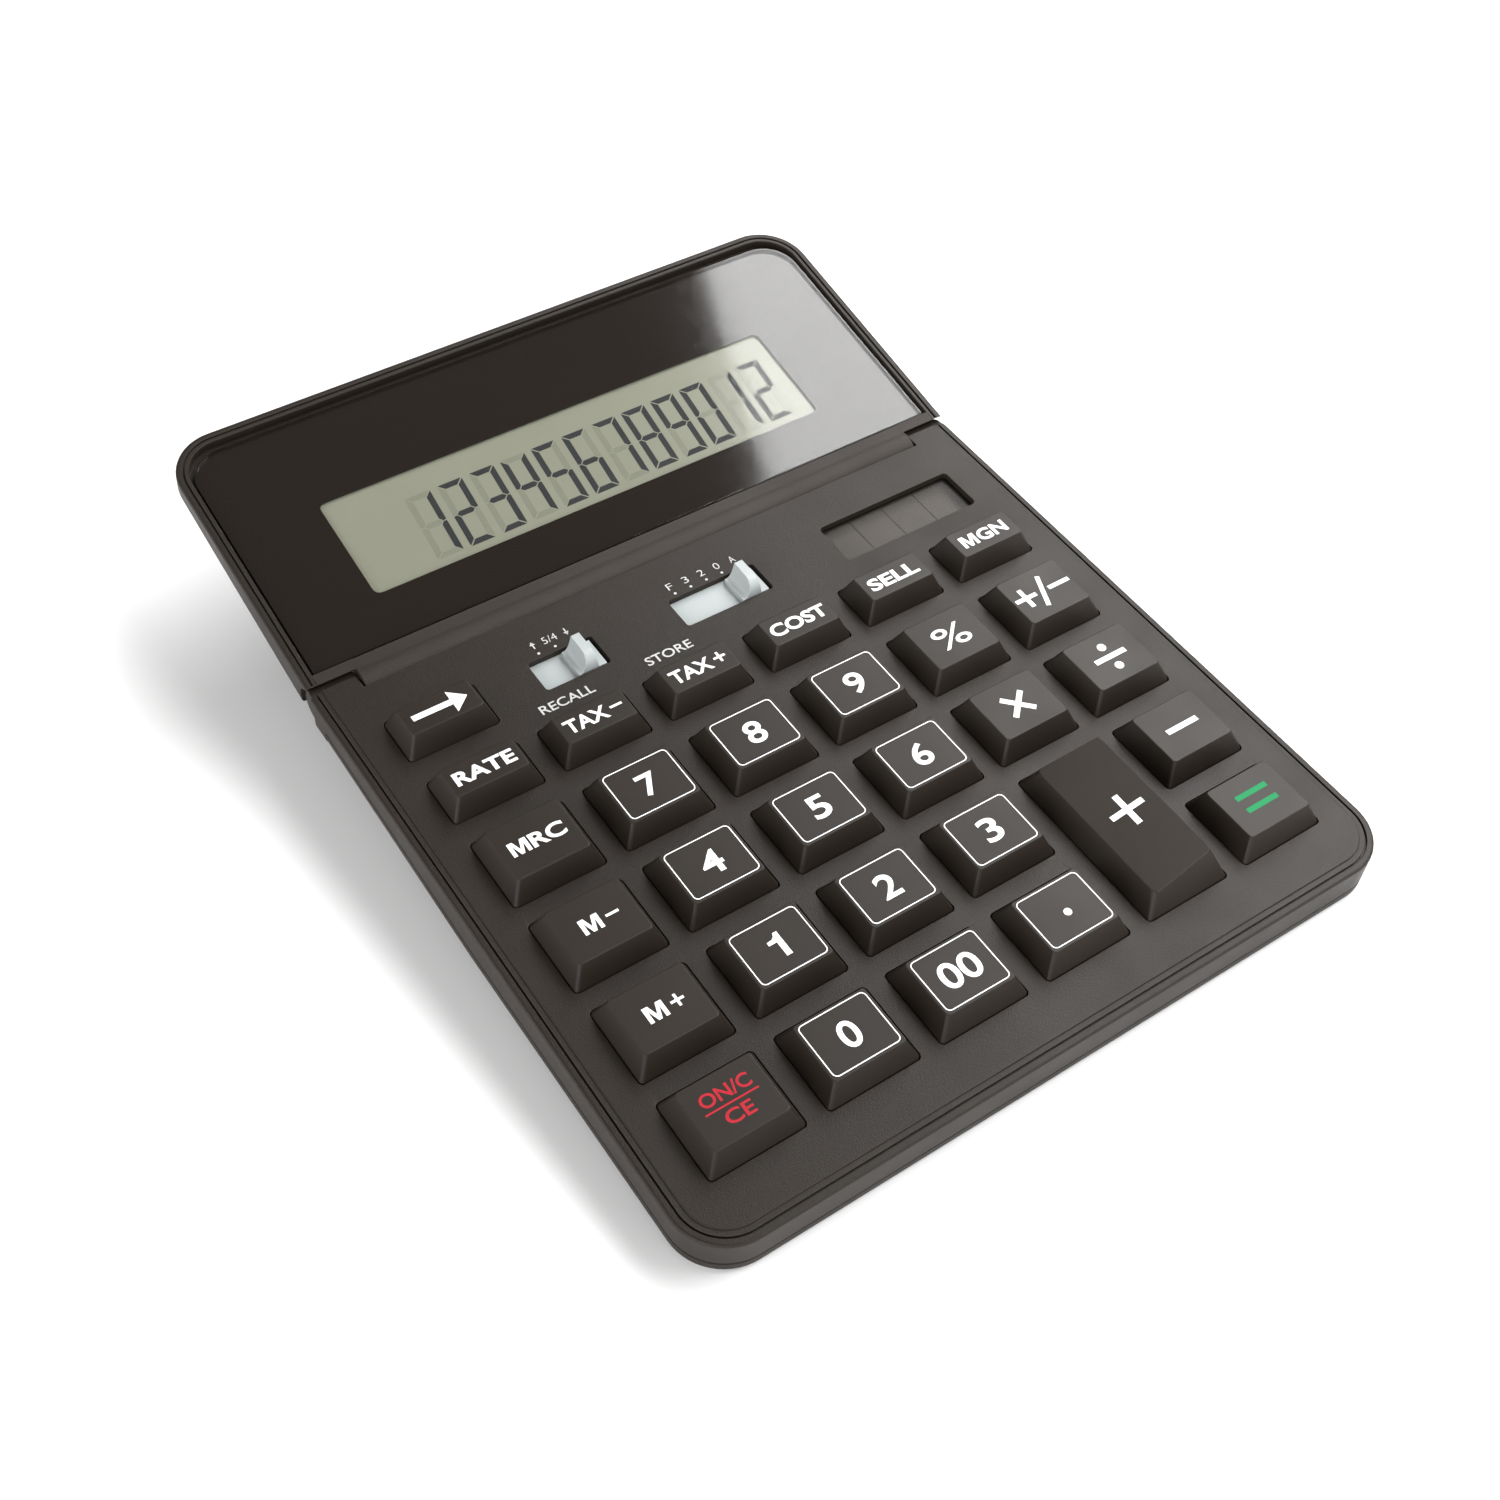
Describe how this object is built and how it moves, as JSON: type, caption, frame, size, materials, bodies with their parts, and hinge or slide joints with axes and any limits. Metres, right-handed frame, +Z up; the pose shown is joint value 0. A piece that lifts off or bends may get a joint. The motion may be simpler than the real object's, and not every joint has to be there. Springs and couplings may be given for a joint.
{
  "type": "desk calculator",
  "caption": "Desk calculator with a sloping keypad of pyramid keys, two slide switches, a solar cell window and a wide LCD head that tilts on a rear hinge.",
  "frame": {"origin": "centre of the footprint, on the surface that the feet stand on, with the head at its rest tilt", "axes": "+X to the user's right along the key rows, +Y away from the user, +Z up"},
  "size_m": [0.1488, 0.1964, 0.0369],
  "materials": {
    "case_plastic": "fine spark-eroded texture, warm brown-grey",
    "key_plastic": "smooth satin, warm dark grey",
    "slider_plastic": "satin light grey",
    "dark_plastic": "moulded switch housing",
    "lens": "polished acrylic, back-printed dark brown with a clear window",
    "lcd": "reflective LCD, greenish grey",
    "solar_glass": "clear plate over the solar cell",
    "solar_cell": "amorphous silicon cell, dark brown",
    "silicone": "moulded silicone",
    "board": "green solder mask on glass fibre laminate",
    "ribbon": "polyimide film",
    "zebra": "conductive elastomer strip",
    "rubber": "anti-slip foot",
    "steel": "plain steel"
  },
  "bodies": {
    "keypad_unit": {"top_case": "case_plastic", "bottom_case": "case_plastic", "keypad_mat": "silicone", "main_board": "board", "switch_block": "dark_plastic", "solar_cell": "solar_cell", "solar_window": "solar_glass", "battery_door": "case_plastic", "coin_cell": "steel", "battery_contact_top": "steel", "battery_contact_side": "steel", "display_ribbon": "ribbon", "hinge_pin_left": "steel", "hinge_pin_right": "steel", "rubber_foot_1": "rubber", "rubber_foot_2": "rubber", "rubber_foot_3": "rubber", "rubber_foot_4": "rubber", "case_screw_1": "steel", "case_screw_2": "steel", "case_screw_3": "steel", "case_screw_4": "steel"},
    "display_head": {"head_bezel": "case_plastic", "head_rear_cover": "case_plastic", "display_lens": "lens", "lcd_panel": "lcd", "display_board": "board", "zebra_connector": "zebra"},
    "rounding_knob": {"rounding_slider": "slider_plastic"},
    "decimal_knob": {"decimal_slider": "slider_plastic"},
    "button_arrow": {"key_arrow": "key_plastic"},
    "button_rate": {"key_rate": "key_plastic"},
    "button_mrc": {"key_mrc": "key_plastic"},
    "button_m_minus": {"key_m_minus": "key_plastic"},
    "button_m_plus": {"key_m_plus": "key_plastic"},
    "button_on_c_ce": {"key_on_c_ce": "key_plastic"},
    "button_tax_minus": {"key_tax_minus": "key_plastic"},
    "button_7": {"key_7": "key_plastic"},
    "button_4": {"key_4": "key_plastic"},
    "button_1": {"key_1": "key_plastic"},
    "button_0": {"key_0": "key_plastic"},
    "button_tax_plus": {"key_tax_plus": "key_plastic"},
    "button_8": {"key_8": "key_plastic"},
    "button_5": {"key_5": "key_plastic"},
    "button_2": {"key_2": "key_plastic"},
    "button_00": {"key_00": "key_plastic"},
    "button_cost": {"key_cost": "key_plastic"},
    "button_9": {"key_9": "key_plastic"},
    "button_6": {"key_6": "key_plastic"},
    "button_3": {"key_3": "key_plastic"},
    "button_point": {"key_point": "key_plastic"},
    "button_sell": {"key_sell": "key_plastic"},
    "button_percent": {"key_percent": "key_plastic"},
    "button_multiply": {"key_multiply": "key_plastic"},
    "button_plus": {"key_plus": "key_plastic"},
    "button_mgn": {"key_mgn": "key_plastic"},
    "button_sign": {"key_sign": "key_plastic"},
    "button_divide": {"key_divide": "key_plastic"},
    "button_minus": {"key_minus": "key_plastic"},
    "button_equals": {"key_equals": "key_plastic"}
  },
  "joints": [
    {"name": "head_tilt", "type": "hinge", "parent": "keypad_unit", "child": "display_head", "pos_m": [0, 0.03516, 0.01673], "axis": [1, 0, 0], "range_deg": [-9.6, 35]},
    {"name": "rounding_slide", "type": "slide", "parent": "keypad_unit", "child": "rounding_knob", "axis": [-1, 0, 0], "range_m": [0, 0.007]},
    {"name": "decimal_slide", "type": "slide", "parent": "keypad_unit", "child": "decimal_knob", "axis": [-1, 0, 0], "range_m": [0, 0.0128]},
    {"name": "press_arrow", "type": "slide", "parent": "keypad_unit", "child": "button_arrow", "axis": [0, 0.0837, -0.9965], "range_m": [0, 0.0016], "stiffness_N_per_m": 500},
    {"name": "press_rate", "type": "slide", "parent": "keypad_unit", "child": "button_rate", "axis": [0, 0.0837, -0.9965], "range_m": [0, 0.0016], "stiffness_N_per_m": 500},
    {"name": "press_mrc", "type": "slide", "parent": "keypad_unit", "child": "button_mrc", "axis": [0, 0.0837, -0.9965], "range_m": [0, 0.0016], "stiffness_N_per_m": 500},
    {"name": "press_m_minus", "type": "slide", "parent": "keypad_unit", "child": "button_m_minus", "axis": [0, 0.0837, -0.9965], "range_m": [0, 0.0016], "stiffness_N_per_m": 500},
    {"name": "press_m_plus", "type": "slide", "parent": "keypad_unit", "child": "button_m_plus", "axis": [0, 0.0837, -0.9965], "range_m": [0, 0.0016], "stiffness_N_per_m": 500},
    {"name": "press_on_c_ce", "type": "slide", "parent": "keypad_unit", "child": "button_on_c_ce", "axis": [0, 0.0837, -0.9965], "range_m": [0, 0.0016], "stiffness_N_per_m": 500},
    {"name": "press_tax_minus", "type": "slide", "parent": "keypad_unit", "child": "button_tax_minus", "axis": [0, 0.0837, -0.9965], "range_m": [0, 0.0016], "stiffness_N_per_m": 500},
    {"name": "press_7", "type": "slide", "parent": "keypad_unit", "child": "button_7", "axis": [0, 0.0837, -0.9965], "range_m": [0, 0.0016], "stiffness_N_per_m": 500},
    {"name": "press_4", "type": "slide", "parent": "keypad_unit", "child": "button_4", "axis": [0, 0.0837, -0.9965], "range_m": [0, 0.0016], "stiffness_N_per_m": 500},
    {"name": "press_1", "type": "slide", "parent": "keypad_unit", "child": "button_1", "axis": [0, 0.0837, -0.9965], "range_m": [0, 0.0016], "stiffness_N_per_m": 500},
    {"name": "press_0", "type": "slide", "parent": "keypad_unit", "child": "button_0", "axis": [0, 0.0837, -0.9965], "range_m": [0, 0.0016], "stiffness_N_per_m": 500},
    {"name": "press_tax_plus", "type": "slide", "parent": "keypad_unit", "child": "button_tax_plus", "axis": [0, 0.0837, -0.9965], "range_m": [0, 0.0016], "stiffness_N_per_m": 500},
    {"name": "press_8", "type": "slide", "parent": "keypad_unit", "child": "button_8", "axis": [0, 0.0837, -0.9965], "range_m": [0, 0.0016], "stiffness_N_per_m": 500},
    {"name": "press_5", "type": "slide", "parent": "keypad_unit", "child": "button_5", "axis": [0, 0.0837, -0.9965], "range_m": [0, 0.0016], "stiffness_N_per_m": 500},
    {"name": "press_2", "type": "slide", "parent": "keypad_unit", "child": "button_2", "axis": [0, 0.0837, -0.9965], "range_m": [0, 0.0016], "stiffness_N_per_m": 500},
    {"name": "press_00", "type": "slide", "parent": "keypad_unit", "child": "button_00", "axis": [0, 0.0837, -0.9965], "range_m": [0, 0.0016], "stiffness_N_per_m": 500},
    {"name": "press_cost", "type": "slide", "parent": "keypad_unit", "child": "button_cost", "axis": [0, 0.0837, -0.9965], "range_m": [0, 0.0016], "stiffness_N_per_m": 500},
    {"name": "press_9", "type": "slide", "parent": "keypad_unit", "child": "button_9", "axis": [0, 0.0837, -0.9965], "range_m": [0, 0.0016], "stiffness_N_per_m": 500},
    {"name": "press_6", "type": "slide", "parent": "keypad_unit", "child": "button_6", "axis": [0, 0.0837, -0.9965], "range_m": [0, 0.0016], "stiffness_N_per_m": 500},
    {"name": "press_3", "type": "slide", "parent": "keypad_unit", "child": "button_3", "axis": [0, 0.0837, -0.9965], "range_m": [0, 0.0016], "stiffness_N_per_m": 500},
    {"name": "press_point", "type": "slide", "parent": "keypad_unit", "child": "button_point", "axis": [0, 0.0837, -0.9965], "range_m": [0, 0.0016], "stiffness_N_per_m": 500},
    {"name": "press_sell", "type": "slide", "parent": "keypad_unit", "child": "button_sell", "axis": [0, 0.0837, -0.9965], "range_m": [0, 0.0016], "stiffness_N_per_m": 500},
    {"name": "press_percent", "type": "slide", "parent": "keypad_unit", "child": "button_percent", "axis": [0, 0.0837, -0.9965], "range_m": [0, 0.0016], "stiffness_N_per_m": 500},
    {"name": "press_multiply", "type": "slide", "parent": "keypad_unit", "child": "button_multiply", "axis": [0, 0.0837, -0.9965], "range_m": [0, 0.0016], "stiffness_N_per_m": 500},
    {"name": "press_plus", "type": "slide", "parent": "keypad_unit", "child": "button_plus", "axis": [0, 0.0837, -0.9965], "range_m": [0, 0.0016], "stiffness_N_per_m": 700},
    {"name": "press_mgn", "type": "slide", "parent": "keypad_unit", "child": "button_mgn", "axis": [0, 0.0837, -0.9965], "range_m": [0, 0.0016], "stiffness_N_per_m": 500},
    {"name": "press_sign", "type": "slide", "parent": "keypad_unit", "child": "button_sign", "axis": [0, 0.0837, -0.9965], "range_m": [0, 0.0016], "stiffness_N_per_m": 500},
    {"name": "press_divide", "type": "slide", "parent": "keypad_unit", "child": "button_divide", "axis": [0, 0.0837, -0.9965], "range_m": [0, 0.0016], "stiffness_N_per_m": 500},
    {"name": "press_minus", "type": "slide", "parent": "keypad_unit", "child": "button_minus", "axis": [0, 0.0837, -0.9965], "range_m": [0, 0.0016], "stiffness_N_per_m": 500},
    {"name": "press_equals", "type": "slide", "parent": "keypad_unit", "child": "button_equals", "axis": [0, 0.0837, -0.9965], "range_m": [0, 0.0016], "stiffness_N_per_m": 500}
  ]
}
